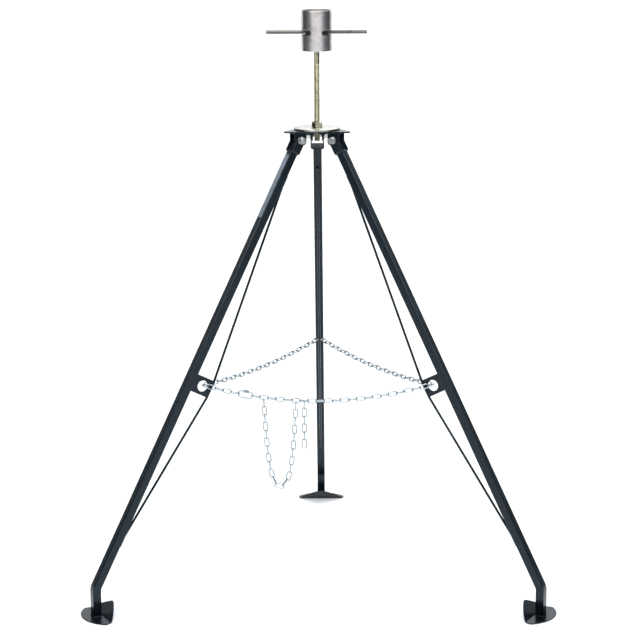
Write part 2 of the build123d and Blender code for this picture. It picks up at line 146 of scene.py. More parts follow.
def turned(profile, frame_axes=np.eye(3), centre=(0, 0, 0), around=64, loop=False):
    """A lathe surface: each (radius, height) of the profile is a ring about the third axis."""
    profile = np.asarray(profile, float)
    angle = np.linspace(0, 2 * pi, around, endpoint=False)
    ring = np.stack([np.cos(angle), np.sin(angle)], -1) @ frame_axes[:2]
    points = profile[:, 0, None, None] * ring[None] + profile[:, 1, None, None] * frame_axes[2]
    return shell(points + np.asarray(centre), loop)


def rounded_path(corners, radius, steps=8):
    """A polyline whose corners are arcs: each tangent point is radius * tan(turn / 2) away."""
    corners = np.asarray(corners, float)
    points = [corners[0]]
    for before, corner, after in zip(corners[:-2], corners[1:-1], corners[2:]):
        u = (before - corner) / np.linalg.norm(before - corner)
        v = (after - corner) / np.linalg.norm(after - corner)
        half = np.arccos(np.clip(u @ v, -1, 1)) / 2
        middle = corner + (u + v) / np.linalg.norm(u + v) * radius / sin(half)
        start, end = corner + u * radius / tan(half), corner + v * radius / tan(half)
        share = np.linspace(0, 1, steps)[:, None]
        chord = start * (1 - share) + end * share - middle
        points.extend(middle + radius * chord / np.linalg.norm(chord, axis=1)[:, None])
    return np.array(points + [corners[-1]])


def carried(outline, path, across):
    """A flat outline (x across, y up) carried along a flat path.

    The path's plane is square to across.
    """
    step = np.gradient(path, axis=0)
    heading = step / np.linalg.norm(step, axis=1)[:, None]
    upright = np.cross(heading, across)
    return shell(
        path[:, None]
        + outline[None, :, :1] * np.asarray(across)
        + outline[None, :, 1:] * upright[:, None]
    )


def circle(radius, around=24):
    """Points at radius * (cos a, sin a)."""
    angle = np.linspace(0, 2 * pi, around, endpoint=False)
    return radius * np.stack([np.cos(angle), np.sin(angle)], -1)


def rounded_square(width, corner, steps=5):
    """Four quarter circles of the corner radius, each about its own corner's centre."""
    angle = np.concatenate([np.linspace(0, pi / 2, steps) + k * pi / 2 for k in range(4)])
    quarter = np.repeat(np.arange(4), steps)
    centres = (width / 2 - corner) * np.array([[1, 1], [-1, 1], [-1, -1], [1, -1]])
    return centres[quarter] + corner * np.stack([np.cos(angle), np.sin(angle)], -1)


# %% [markdown]
# ## Finishes
#
# A finish starts from what it really is. A powder coat is a thick skin of melted resin: an
# even, glossy black with a faint orange-peel ripple a millimetre or two across. Zinc plate is a
# thin bright metal whose clear passivation leaves soft patches of blue, yellow or pink. Drawn
# steel shows fine lines along its length.

# %% Small tools for materials
def linear(code):
    """An sRGB hex colour as linear light.

    Each channel is c / 12.92 below 0.04045, else ((c + 0.055) / 1.055)^2.4.
    """
    c = np.array([int(code[k : k + 2], 16) for k in (1, 3, 5)]) / 255
    return (*np.where(c <= 0.04045, c / 12.92, ((c + 0.055) / 1.055) ** 2.4), 1.0)


def add(tree, kind, settings=(), **sockets):
    """Add a node. Sockets take a value, or a (node, output) pair to link from."""
    node = tree.nodes.new(kind)
    for name, value in dict(settings).items():
        setattr(node, name, value)
    for name, value in sockets.items():
        by_number = name[1:].isdigit()
        socket = node.inputs[int(name[1:]) if by_number else name.replace("_", " ")]
        if isinstance(value, tuple) and isinstance(value[0], bpy.types.Node):
            tree.links.new(value[0].outputs[value[1]], socket)
        else:
            socket.default_value = value
    return node


def new_finish(name, **shader):
    """A material with a Principled shader that has these constant values."""
    material = bpy.data.materials.new(name)
    material.use_nodes = True
    tree = material.node_tree
    bsdf = tree.nodes["Principled BSDF"]
    for socket, value in shader.items():
        bsdf.inputs[socket.replace("_", " ")].default_value = value
    return material, tree, bsdf


def feed(tree, bsdf, socket, node, output):
    """Link one output to one socket of the shader."""
    tree.links.new(node.outputs[output], bsdf.inputs[socket])


def ramp(tree, source, stops):
    """A colour ramp with these (position, hex colour) stops."""
    node = add(tree, "ShaderNodeValToRGB", Fac=source)
    node.color_ramp.elements.remove(node.color_ramp.elements[-1])
    for k, (place, code) in enumerate(stops):
        stop = node.color_ramp.elements[0] if k == 0 else node.color_ramp.elements.new(place)
        stop.position, stop.color = place, linear(code)
    return node


# %% Gloss black powder coat
# Resin has an IOR near 1.5. The ripple is 1.6 mm across, and soft cloudy patches 60 mm across
# stand for handling marks, which dull the gloss a little. Dust in the coat leaves pale specks.
black_paint, tree, bsdf = new_finish(
    "gloss black powder coat", IOR=1.5, Metallic=0.0, Specular_IOR_Level=0.36,
    Specular_Tint=linear("#dcefff"),
)
coords = add(tree, "ShaderNodeTexCoord")
place = (coords, "Object")
ripple = add(tree, "ShaderNodeTexNoise", Vector=place, Scale=620.0, Detail=1.0)
clouds = add(tree, "ShaderNodeTexNoise", Vector=place, Scale=16.0, Detail=4.0)
specks = add(tree, "ShaderNodeTexNoise", Vector=place, Scale=900.0, Detail=2.0)
coat = ramp(tree, (clouds, "Fac"), [(0.3, "#05090d"), (0.7, "#0b141a")])
dust = ramp(tree, (specks, "Fac"), [(0.0, "#000000"), (0.74, "#000000"), (0.8, "#ffffff")])
mixed = add(
    tree, "ShaderNodeMix", {"data_type": "RGBA"}, _0=(dust, "Color"), _6=(coat, "Color"),
    _7=linear("#3a4244"),
)
gloss = add(tree, "ShaderNodeMapRange", Value=(clouds, "Fac"), To_Min=0.16, To_Max=0.34)
bump = add(tree, "ShaderNodeBump", Height=(ripple, "Fac"), Strength=0.1, Distance=0.0006)
feed(tree, bsdf, "Base Color", mixed, 2)
feed(tree, bsdf, "Roughness", gloss, "Result")
feed(tree, bsdf, "Normal", bump, "Normal")
print("made", black_paint.name)


# %% Plated and drawn steels
# One recipe serves them, because they differ only in tint, gloss and the way their lines run.
# Patches are the plate's uneven colour, and the lines are turning or drawing marks 0.4 mm
# apart, far coarser than real ones so that they show.
def plated(name, tints, gloss_range, patch, stretch, depth):
    """Metal whose tint drifts over patches of this size (m).

    Its lines are stretched along an axis.
    """
    material, tree, bsdf = new_finish(name, Metallic=1.0)
    coords = add(tree, "ShaderNodeTexCoord")
    drift = add(
        tree, "ShaderNodeTexNoise", Vector=(coords, "Object"), Scale=1 / patch, Detail=3.0,
        Distortion=0.4,
    )
    stops = [(0.3 + 0.4 * k / (len(tints) - 1), code) for k, code in enumerate(tints)]
    tint = ramp(tree, (drift, "Fac"), stops)
    squeezed = add(tree, "ShaderNodeMapping", Vector=(coords, "Object"), Scale=stretch)
    lines = add(tree, "ShaderNodeTexNoise", Vector=(squeezed, "Vector"), Scale=2500.0, Detail=2.0)
    low, high = gloss_range
    gloss = add(tree, "ShaderNodeMapRange", Value=(lines, "Fac"), To_Min=low, To_Max=high)
    bump = add(tree, "ShaderNodeBump", Height=(lines, "Fac"), Strength=depth, Distance=0.0002)
    feed(tree, bsdf, "Base Color", tint, "Color")
    feed(tree, bsdf, "Roughness", gloss, "Result")
    feed(tree, bsdf, "Normal", bump, "Normal")
    print("made", name)
    return material


even = (0.3, 0.3, 0.3)
bright_zinc = plated(
    "bright zinc plate, drawn tube", ["#d6ccc8", "#f0e9e4", "#e0d4d7"], (0.16, 0.3), 0.03,
    (0.02, 0.02, 1.0), 0.05,
)
yellow_zinc = plated(
    "yellow zinc plate, rolled thread", ["#96927a", "#bcb89e", "#a6a086"], (0.2, 0.36), 0.012,
    even, 0.1,
)
pale_zinc = plated(
    "pale zinc plate, pressed disc", ["#8b8c84", "#a2a198", "#96978f"], (0.26, 0.4), 0.025, even,
    0.08,
)
drawn_steel = plated(
    "plain drawn steel bar", ["#4c4c47", "#65655e", "#585852"], (0.26, 0.42), 0.02,
    (0.01, 1.0, 1.0), 0.15,
)
bolt_zinc = plated(
    "zinc plate, forged bolt", ["#9da0a2", "#c0c1c0", "#aaa8a0"], (0.22, 0.38), 0.008, even, 0.08
)
chain_zinc = plated(
    "zinc plate, tumbled chain", ["#7d8b93", "#a5b0b6", "#929c9f"], (0.16, 0.32), 0.009, even, 0.1
)
finishes = {
    "bright_zinc": bright_zinc,
    "yellow_zinc": yellow_zinc,
    "bearing_steel": drawn_steel,
    "bare_bar": drawn_steel,
    "silver_plate": pale_zinc,
    "black_gloss_paint": black_paint,
    "bolt_zinc": bolt_zinc,
    "chain_zinc": chain_zinc,
}

# %% [markdown]
# Every CAD node first gets the finish of its slot. A part whose shape is right, such as a
# cross-drilled collar, needs no more than that.

# %% Dress the CAD nodes
for name, node in frame["nodes"].items():
    node.data.materials.clear()
    node.data.materials.append(finishes[slot_of[name]])
print("dressed", len(frame["nodes"]), "nodes")

# %% [markdown]
# ## Cut and bent plate
#
# Yokes, brackets and plates are already the right shape, but a saw or a shear never leaves an
# edge that is quite sharp, and the thin bright line along an edge is what makes steel look
# like steel. A CAD mesh is loose triangles, so a copy of it is joined up and given a small bevel.

# %% A copy of a CAD node with eased edges
def joined(node):
    """Unique vertices and triangles of a CAD node, its corners matched to a micrometre."""
    mesh = frame["nodes"][node].data
    points = np.empty(len(mesh.vertices) * 3)
    mesh.vertices.foreach_get("co", points)
    mesh.calc_loop_triangles()
    triangles = np.empty(len(mesh.loop_triangles) * 3, int)
    mesh.loop_triangles.foreach_get("vertices", triangles)
    keys = np.round(points.reshape(-1, 3) * 1e6).astype(np.int64)
    _, first, index = np.unique(keys, axis=0, return_index=True, return_inverse=True)
    triangles = index.ravel()[triangles].reshape(-1, 3)
    whole = (triangles != np.roll(triangles, 1, axis=1)).all(axis=1)
    return points.reshape(-1, 3)[first], triangles[whole]


def eased(node, edge, name=None):
    """Stand a bevelled copy in for a CAD node, its flat faces kept flat by weighted normals."""
    points, triangles = joined(node)
    piece = make_piece(
        name or node + "_eased", [(points, triangles.tolist())], node, finishes[slot_of[node]],
        [node], crease=180,
    )
    flat = piece.modifiers.new("join flat faces", "DECIMATE")
    flat.decimate_type, flat.angle_limit = "DISSOLVE", radians(0.5)
    bevel = piece.modifiers.new("eased edges", "BEVEL")
    bevel.width, bevel.segments, bevel.angle_limit = edge, 2, radians(38)
    piece.modifiers.new("flat shading", "WEIGHTED_NORMAL")
    return piece


for side in azimuths:
    eased(f"hinge_bracket_{side}", 0.6 * MM)
    eased(f"leg_yoke_{side}", 0.6 * MM)
    eased(f"chain_plate_{side}", 0.5 * MM)
eased("head_plate", 0.6 * MM)
eased("retaining_clip", 0.4 * MM)
eased("quick_link_sleeve", 0.3 * MM)

# %% [markdown]
# ## Legs
#
# Each leg is one square tube with a knee near the ground. Its rounded corners catch a long thin
# highlight, so the tube is a rounded square carried along its own middle line.

# %% Square tubes
tube_width, tube_corner = 22.2 * MM, 2.5 * MM
knee_radius = 30 * MM
tube_start, pad_thickness = 37.2 * MM, 3 * MM
tube_line = rounded_path(
    [along_leg(tube_start), (foot_circle, 0, knee_height), (foot_circle, 0, pad_thickness)],
    knee_radius, steps=14,
)
tube_points, tube_faces = carried(rounded_square(tube_width, tube_corner), tube_line, sideways)
for side, azimuth in azimuths.items():
    tube = make_piece(
        f"square_tube_{side}", [(turned_to(tube_points, azimuth), tube_faces)],
        f"leg_tube_{side}", black_paint, [f"leg_tube_{side}"], crease=180,
    )
    tube.modifiers.new("flat shading", "WEIGHTED_NORMAL")

# %% [markdown]
# The truss rod stiffens the leg. It is a plain round bar bent four times and welded at both ends.

# %% Truss rods
rod_radius, rod_bend = 3.2 * MM, 14 * MM
rod_close = tube_width / 2 + rod_radius
chain_plate_width = 53.2 * MM
rod_offset = tube_width / 2 + chain_plate_width + rod_radius
rod_ends = (97 * MM, 1140 * MM)
rod_weld = 30 * MM
plate_start, plate_end = 655 * MM, 702 * MM
rod_line = rounded_path(
    [
        along_leg(rod_ends[0], rod_close),
        along_leg(rod_ends[0] + rod_weld, rod_close),
        along_leg(plate_start, rod_offset),
        along_leg(plate_end, rod_offset),
        along_leg(rod_ends[1] - rod_weld, rod_close),
        along_leg(rod_ends[1], rod_close),
    ],
    rod_bend,
)
rod_points, rod_faces = carried(circle(rod_radius), rod_line, sideways)
for side, azimuth in azimuths.items():
    make_piece(
        f"bent_rod_{side}", [(turned_to(rod_points, azimuth), rod_faces)],
        f"truss_rod_{side}", black_paint, [f"truss_rod_{side}"],
    )

# %% [markdown]
# ## Weld beads
#
# A weld is a row of overlapping puddles, so its width swells and shrinks every 2 mm or so. Each
# bead here is half sunk in the corner that it fills.

# %% Beads where the leg's parts meet
ripple_pitch = 2.2 * MM


def bead(corners, radius, loop=False):
    """A round bead along a polyline, its radius r (1 + 0.13 cos(2 pi s / pitch))."""
    corners = np.asarray(corners, float)
    if loop:
        corners = np.vstack([corners, corners[:1]])
    spans = np.linalg.norm(np.diff(corners, axis=0), axis=1)
    reached = np.concatenate([[0], np.cumsum(spans)])
    count = max(8, int(reached[-1] / ripple_pitch * 5))
    s = np.linspace(0, reached[-1], count, endpoint=not loop)
    path = np.stack([np.interp(s, reached, corners[:, k]) for k in range(3)], -1)
    swell = 1 + 0.13 * np.cos(2 * pi * s / ripple_pitch)
    ahead = np.roll(path, -1, axis=0) - np.roll(path, 1, axis=0)
    if not loop:
        ahead[0], ahead[-1] = path[1] - path[0], path[-1] - path[-2]
        swell *= np.sqrt(np.clip(np.minimum(s, reached[-1] - s) / radius, 0.05, 1))
    heading = ahead / np.linalg.norm(ahead, axis=1)[:, None]
    helper = np.array([0.31, 0.57, 0.76])
    first = np.cross(heading, helper)
    first /= np.linalg.norm(first, axis=1)[:, None]
    second = np.cross(heading, first)
    angle = np.linspace(0, 2 * pi, 10, endpoint=False)
    ring = first[:, None] * np.cos(angle)[:, None] + second[:, None] * np.sin(angle)[:, None]
    return shell(path[:, None] + radius * swell[:, None, None] * ring, loop)


tube_half = tube_width / 2
around_tube = rounded_square(tube_width, tube_corner)
plate_half = 1.5 * MM
leg_beads = []
for y in (-1, 1):
    rod_side = y * 2.6 * MM
    for near, far in (
        (rod_ends[0], rod_ends[0] + rod_weld), (rod_ends[1] - rod_weld, rod_ends[1]),
    ):
        leg_beads.append(bead(
            [along_leg(near, tube_half, rod_side), along_leg(far, tube_half, rod_side)], 1.9 * MM,
        ))
    for inset in (tube_half, tube_half + 53.2 * MM):
        leg_beads.append(bead(
            [along_leg(d, inset, y * plate_half) for d in (plate_start, plate_end)], 1.7 * MM,
        ))
leg_beads.append(bead(
    [along_leg(tube_start, v, u) for u, v in around_tube], 1.6 * MM, loop=True,
))
leg_beads.append(bead(
    [(foot_circle + v, u, pad_thickness) for u, v in around_tube], 2.0 * MM, loop=True,
))
for side, azimuth in azimuths.items():
    make_piece(
        f"leg_welds_{side}", [(turned_to(p, azimuth), f) for p, f in leg_beads],
        f"leg_tube_{side}", black_paint,
    )

# %% Beads under the head plate
bracket_half_width, bracket_half_length = 14.5 * MM, 17 * MM
head_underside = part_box("head_plate")[0].z
bracket_beads = [
    bead(
        [
            (pivot_circle - bracket_half_length, y, head_underside),
            (pivot_circle + bracket_half_length * 0.6, y, head_underside),
        ],
        1.9 * MM,
    )
    for y in (-bracket_half_width, bracket_half_width)
]
make_piece(
    "bracket_welds",
    [(turned_to(p, azimuth), f) for azimuth in azimuths.values() for p, f in bracket_beads],
    "head_plate", black_paint,
)

# %% [markdown]
# ## Foot pads
#
# A pad is pressed from 3 mm plate: a flat sole with a bowed front, and an inner half bent up at
# 44 degrees that narrows to a rounded tip. It is drawn flat, as the blank is cut, and then bent.

# %% Pressed foot pads
fold_line = foot_circle - 13 * MM
sole_reach, shoulder_reach = 49 * MM, 15 * MM
flap_length, flap_angle = 48 * MM, radians(44)
half_fold, half_shoulder = 64 * MM, 69 * MM


def arc_through(start, via, end, count=24):
    """Points on the circle through three points, from the first to the last."""
    (ax, ay), (bx, by), (cx, cy) = start, via, end
    d = 2 * (ax * (by - cy) + bx * (cy - ay) + cx * (ay - by))
    a2, b2, c2 = ax**2 + ay**2, bx**2 + by**2, cx**2 + cy**2
    middle = np.array([
        (a2 * (by - cy) + b2 * (cy - ay) + c2 * (ay - by)) / d,
        (a2 * (cx - bx) + b2 * (ax - cx) + c2 * (bx - ax)) / d,
    ])
    angles = np.unwrap([np.arctan2(y - middle[1], x - middle[0]) for x, y in (start, via, end)])
    sweep = np.linspace(angles[0], angles[2], count)
    radius = np.hypot(ax - middle[0], ay - middle[1])
    return middle + radius * np.stack([np.cos(sweep), np.sin(sweep)], -1)


def pad_outline(count=168, softening=5):
    """The flat blank, anticlockwise, evenly spaced, its corners rounded by a moving average."""
    bulge = (-(flap_length / 2 + 3 * MM), half_fold / 2 + 3 * MM)
    front = arc_through(
        (shoulder_reach, -half_shoulder), (sole_reach, 0), (shoulder_reach, half_shoulder)
    )
    left = arc_through((0, half_fold), bulge, (-flap_length, 0))
    right = arc_through((-flap_length, 0), (bulge[0], -bulge[1]), (0, -half_fold))
    corners = np.vstack([front, left, right[1:], front[:1]])
    reached = np.concatenate([[0], np.cumsum(np.linalg.norm(np.diff(corners, axis=0), axis=1))])
    s = np.linspace(0, reached[-1], count, endpoint=False)
    even_points = np.stack([np.interp(s, reached, corners[:, k]) for k in range(2)], -1)
    shifts = range(-(softening // 2), softening // 2 + 1)
    return sum(np.roll(even_points, k, axis=0) for k in shifts) / softening


def bent_up(flat, lift):
    """Bend the blank: its slope turns from 0 to 44 degrees within 4 mm each side of the fold.

    The middle surface at a distance d in from the fold is the running sum of (cos, sin) of the
    slope there, and lift moves a point off the middle surface along the normal.
    """
    d = np.linspace(-60 * MM, 60 * MM, 1201)
    share = np.clip((d + 4 * MM) / (8 * MM), 0, 1)
    slope = flap_angle * share * share * (3 - 2 * share)
    x = np.cumsum(np.cos(slope)) * (d[1] - d[0])
    z = np.cumsum(np.sin(slope)) * (d[1] - d[0])
    x -= np.interp(0, d, x)
    inward = -flat[..., 0]
    tilt = np.interp(inward, d, slope)
    return np.stack([
        fold_line - np.interp(inward, d, x) + lift * np.sin(tilt),
        flat[..., 1],
        pad_thickness / 2 + np.interp(inward, d, z) + lift * np.cos(tilt),
    ], -1)


outline = pad_outline()
rings_in = np.concatenate([np.linspace(0.03, 0.9, 30), [0.94, 0.97]])
edge_round = 0.9 * MM
arc = np.linspace(0, pi / 2, 4)
edge_in = 1 - edge_round * (1 - np.sin(arc)) / (55 * MM)
edge_lift = -(pad_thickness / 2 - edge_round) - edge_round * np.cos(arc)
shares = np.concatenate([rings_in, edge_in, edge_in[::-1], rings_in[::-1]])
lifts = np.concatenate([
    np.full(len(rings_in), -pad_thickness / 2), edge_lift, -edge_lift[::-1],
    np.full(len(rings_in), pad_thickness / 2),
])
pad_points, pad_faces = shell(bent_up(shares[:, None, None] * outline[None], lifts[:, None]))
for side, azimuth in azimuths.items():
    make_piece(
        f"pressed_pad_{side}", [(turned_to(pad_points, azimuth), pad_faces)],
        f"foot_pad_{side}", black_paint, [f"foot_pad_{side}"], crease=50,
    )

# %% [markdown]
# ## Screws, bolts and nuts
#
# A thread is a ridge that climbs one pitch in each turn, so the radius at any height depends
# only on the phase, height / pitch - angle / 360 degrees. A hexagon's radius is its flat's
# distance over the cosine of the angle from the flat's middle, and a nut's corners are cut
# away by a shallow cone.

# %% Threads and hexagons
def thread(outer, depth, pitch, bottom, top, chamfer, neck=None, around=40, per_turn=8):
    """Rings of a right-hand screw: r = outer - depth * (1 - ridge(phase)), chamfered below."""
    neck_radius, neck_top = neck or (outer - depth, top)
    heights = np.linspace(bottom, top, int((top - bottom) / pitch * per_turn))
    angle = np.linspace(0, 2 * pi, around, endpoint=False)
    phase = (heights[:, None] / pitch - angle[None] / (2 * pi)) % 1
    ridge = np.clip(1.5 - 5 * np.abs(phase - 0.5), 0, 1)
    radius = outer - depth * (1 - ridge)
    radius = np.minimum(radius, outer - chamfer + (heights - bottom)[:, None])
    runout = np.clip((top - heights) / pitch, 0, 1)[:, None]
    radius = neck_radius + (radius - neck_radius) * runout
    heights = np.append(heights, neck_top)
    radius = np.vstack([radius, np.full(around, neck_radius)])
    ring = np.stack([np.cos(angle), np.sin(angle)], -1)
    points = np.empty((*radius.shape, 3))
    points[..., :2] = radius[..., None] * ring
    points[..., 2] = heights[:, None]
    return points


def hexagon(across_flats, height, bore=0.0, both=False, around=48, twist=0.0):
    """Rings of a nut or bolt head of this height, its corners under a 30 degree cone."""
    angle = np.linspace(0, 2 * pi, around, endpoint=False)
    off_flat = (angle + pi / 6) % (pi / 3) - pi / 6
    corner = across_flats / 2 / np.cos(off_flat)
    face = 0.95 * across_flats / 2
    cut = np.clip(corner - face, 0, None) * tan(radians(30))
    flat = np.ones(around)
    inner = bore if bore else 0.04 * across_flats
    rings = [(inner * flat, 0 * flat)]
    if both:
        rings += [(face * flat, 0 * flat), (corner, cut)]
    else:
        rings += [(corner, 0 * flat)]
    rings += [(corner, height - cut), (face * flat, height * flat), (inner * flat, height * flat)]
    radius, heights = (np.array([ring[k] for ring in rings]) for k in (0, 1))
    return np.stack([
        radius * np.cos(angle + twist), radius * np.sin(angle + twist), heights,
    ], -1)


screw_box, nut_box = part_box("jack_screw"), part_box("lift_nut")
neck_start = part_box("cup_base")[0].z - 34 * MM
screw = thread(
    outer=7.95 * MM, depth=1.25 * MM, pitch=2.6 * MM, bottom=screw_box[0].z, top=neck_start,
    chamfer=1.2 * MM, neck=(7.3 * MM, screw_box[1].z),
)
make_piece("threaded_screw", [shell(screw)], "jack_screw", yellow_zinc, ["jack_screw"], crease=60)
nut = hexagon(24 * MM, nut_box[1].z - nut_box[0].z, bore=8 * MM, both=True, twist=radians(43))
nut[..., 2] += nut_box[0].z
make_piece(
    "hexagon_lift_nut", [shell(nut, loop=True)], "lift_nut", yellow_zinc, ["lift_nut"],
    crease=25,
)

# %% [markdown]
# The hinge bolts lie sideways through the brackets, so their parts are made upright and then
# laid over: their own Z becomes -Y, the way that the head faces.

# %% Hinge bolts, nuts and washers
head_seat, washer_seat = 19.6 * MM, 18.0 * MM
bolt_width, bolt_head, bolt_nut, bolt_tail = 17 * MM, 6.4 * MM, 8 * MM, 3 * MM
laid_over = np.array([[1.0, 0, 0], [0, 0, 1.0], [0, -1.0, 0]])


def on_hinge(rings, loop=False):
    """A piece made along Z, turned so that Z is -Y and moved to the hinge of a leg along +X."""
    points, faces = shell(rings, loop)
    return points @ laid_over + hinge, faces


head_rings = hexagon(bolt_width, bolt_head, twist=radians(11))
head_rings[..., 2] += head_seat
shank_bottom = -(head_seat + bolt_nut + bolt_tail)
shank = thread(
    5 * MM, 0.7 * MM, 1.5 * MM, shank_bottom, -head_seat + 4 * MM, 0.8 * MM,
    neck=(5 * MM, head_seat), around=32,
)
nut_rings = hexagon(bolt_width, bolt_nut, bore=5 * MM, both=True, twist=radians(24))
nut_rings[..., 2] -= head_seat + bolt_nut
washer_profile = MM * np.array([
    (5.08, 0), (9.8, 0), (10, 0.2), (10, 1.4), (9.8, 1.6), (5.08, 1.6),
])
for side, azimuth in azimuths.items():
    bolt = [on_hinge(head_rings), on_hinge(shank)]
    washers = []
    for seat in (washer_seat, -washer_seat - 1.6 * MM):
        points, faces = turned(washer_profile, centre=(0, 0, seat), around=48, loop=True)
        washers.append((points @ laid_over + hinge, faces))
    for name, shells, node in (
        ("hex_bolt", bolt, "pivot_bolt"),
        ("hex_nut", [on_hinge(nut_rings, loop=True)], "pivot_nut"),
        ("flat_washers", washers, "pivot_washers"),
    ):
        make_piece(
            f"{name}_{side}", [(turned_to(p, azimuth), f) for p, f in shells],
            f"{node}_{side}", bolt_zinc, [f"{node}_{side}"], crease=25,
        )

# %% [markdown]
# ## Head and cup
#
# The disc, the boss and the bar are turned parts; the disc and the bar are each drawn as a profile
# spun about its axis. The cup is a cut length of tube with a slot on each side for the bar, worked
# out as a sheet over angle and height with the cells of the slots left out, and then given its wall thickness.

# %% Turned parts
disc_low, disc_high = (corner.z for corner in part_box("top_disc"))
disc_radius, disc_bore, rounding = 60 * MM, 8.35 * MM, 1.2 * MM
arc = np.linspace(-pi / 2, 0, 5)
rim = np.stack([
    disc_radius - rounding + rounding * np.cos(arc), disc_low + rounding + rounding * np.sin(arc),
], -1)
upper = np.stack([rim[::-1, 0], disc_low + disc_high - rim[::-1, 1]], -1)
disc_profile = np.vstack([[(disc_bore, disc_low)], rim, upper, [(disc_bore, disc_high)]])
make_piece(
    "pressed_disc", [turned(disc_profile, around=128, loop=True)], "top_disc", pale_zinc,
    ["top_disc"],
)

bar_low, bar_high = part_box("turning_bar")
bar_height = (bar_low.z + bar_high.z) / 2
bar_radius, bar_half, bar_edge = 4.7 * MM, bar_high.x, 1 * MM
bar_profile = [
    (bar_radius - bar_edge, -bar_half),
    (bar_radius - 0.3 * bar_edge, -bar_half + 0.3 * bar_edge),
    (bar_radius, -bar_half + bar_edge),
    (bar_radius, bar_half - bar_edge),
    (bar_radius - 0.3 * bar_edge, bar_half - 0.3 * bar_edge),
    (bar_radius - bar_edge, bar_half),
]
along_x = np.array([[0, 1.0, 0], [0, 0, 1.0], [1.0, 0, 0]])
make_piece(
    "round_bar", [turned(bar_profile, along_x, (0, 0, bar_height), around=40)], "turning_bar",
    drawn_steel, ["turning_bar"],
)

# %% Slotted cup
cup_low, cup_high = (corner.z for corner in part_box("king_pin_cup"))
cup_radius, cup_wall = 40.5 * MM, 2.5 * MM
slot_half_height, slot_reach = 6.85 * MM, radians(70)
per_slot, per_land, plain_rows, slot_rows = 28, 9, 6, 9
across_slot = slot_half_height * np.sin(np.linspace(-pi / 2, pi / 2, slot_rows))
height = np.concatenate([
    np.linspace(cup_low, bar_height - slot_half_height, plain_rows)[:-1],
    bar_height + across_slot,
    np.linspace(bar_height + slot_half_height, cup_high, plain_rows)[1:],
])
# A slot's ends are half circles, so its columns draw in by r - sqrt(r^2 - z^2) at a height z
# from its middle, and spread out again above and below it.
from_middle = np.abs(height - bar_height)
beyond = np.clip(from_middle - slot_half_height, 0, None)
inside = np.sqrt(np.clip(slot_half_height**2 - from_middle**2, 0, None))
drawn_in = (slot_half_height - inside) * np.exp(-beyond / (12 * MM))
reach = slot_reach - drawn_in / cup_radius
angle = np.concatenate([
    np.linspace(-reach, reach, per_slot, endpoint=False),
    np.linspace(reach, pi - reach, per_land, endpoint=False),
    np.linspace(pi - reach, pi + reach, per_slot, endpoint=False),
    np.linspace(pi + reach, 2 * pi - reach, per_land, endpoint=False),
]).T
rows, around = angle.shape
cup_points = np.stack([
    cup_radius * np.cos(angle), cup_radius * np.sin(angle),
    np.broadcast_to(height[:, None], angle.shape),
], -1).reshape(-1, 3)
i, j = np.meshgrid(np.arange(rows - 1), np.arange(around), indexing="ij")
beside = (j + 1) % around
cells = np.stack(
    [i * around + j, i * around + beside, (i + 1) * around + beside, (i + 1) * around + j], -1
)
slot_row = (i >= plain_rows - 1) & (i < plain_rows + slot_rows - 2)
in_slot = slot_row & (j % (per_slot + per_land) < per_slot)
cup = make_piece(
    "slotted_cup", [(cup_points, cells[~in_slot].tolist())], "king_pin_cup", bright_zinc,
    ["king_pin_cup"], crease=180,
)
wall = cup.modifiers.new("wall", "SOLIDIFY")
wall.thickness, wall.offset = cup_wall, -1
rim_bevel = cup.modifiers.new("eased edges", "BEVEL")
rim_bevel.width, rim_bevel.segments, rim_bevel.angle_limit = 0.5 * MM, 2, radians(38)
rim_bevel.harden_normals = True

# %% [markdown]
# ## Chain
#
# Every link is the same welded ring of 3.2 mm wire. The CAD already hangs them, so a link's
# place is read back from its CAD solid: its middle is the average over its surface, and its
# three directions are those in which that surface is most, less and least spread out.

# %% Find the links in a CAD node
def link_frames(node):
    """Middle and axes of each solid of a node, from its surface's covariance matrix."""
    points, triangles = joined(node)
    label = np.arange(len(points))
    while True:
        lowest = label[triangles].min(axis=1)
        new = label.copy()
        for corner in range(3):
            np.minimum.at(new, triangles[:, corner], lowest)
        new = new[new]
        if (new == label).all():
            break
        label = new
    _, solid = np.unique(label[triangles[:, 0]], return_inverse=True)
    a, b, c = points[triangles].transpose(1, 0, 2)
    area = np.linalg.norm(np.cross(b - a, c - a), axis=1) / 2
    middle = (a + b + c) / 3
    total = np.bincount(solid, area)
    centre = np.stack([np.bincount(solid, area * middle[:, k]) / total for k in range(3)], -1)
    offset = middle - centre[solid]
    spread = np.empty((len(total), 3, 3))
    for row in range(3):
        for column in range(3):
            spread[:, row, column] = np.bincount(solid, area * offset[:, row] * offset[:, column])
    _, axes = np.linalg.eigh(spread / total[:, None, None])
    long, wide = axes[..., 2], axes[..., 1]
    return centre, np.stack([long, wide, np.cross(long, wide)], 1)


def wire_ring(inner_length, inner_width, wire, bend_steps=7, around=8, flash=0.0):
    """A long ring: two straights and two half circles, with a weld swelling on one straight."""
    bend, half = (inner_width + wire) / 2, (inner_length - inner_width) / 2
    turn = np.linspace(-pi / 2, pi / 2, bend_steps)
    right = np.stack([half + bend * np.cos(turn), bend * np.sin(turn)], -1)
    weld = np.array([(3 * wire / 4, bend), (0, bend), (-3 * wire / 4, bend)])
    plain = np.array([(0, -bend)])
    middle = np.vstack([right, weld, -right, plain])
    outward = np.vstack([
        np.stack([np.cos(turn), np.sin(turn)], -1), np.tile([0.0, 1.0], (3, 1)),
        -np.stack([np.cos(turn), np.sin(turn)], -1), [(0.0, -1.0)],
    ])
    radius = np.full(len(middle), wire / 2)
    radius[bend_steps + 1] *= 1 + flash
    angle = np.linspace(0, 2 * pi, around, endpoint=False)
    flat = middle[:, None] + (radius[:, None] * np.sin(angle))[..., None] * outward[:, None]
    return np.concatenate([flat, (radius[:, None] * np.cos(angle))[..., None]], -1)


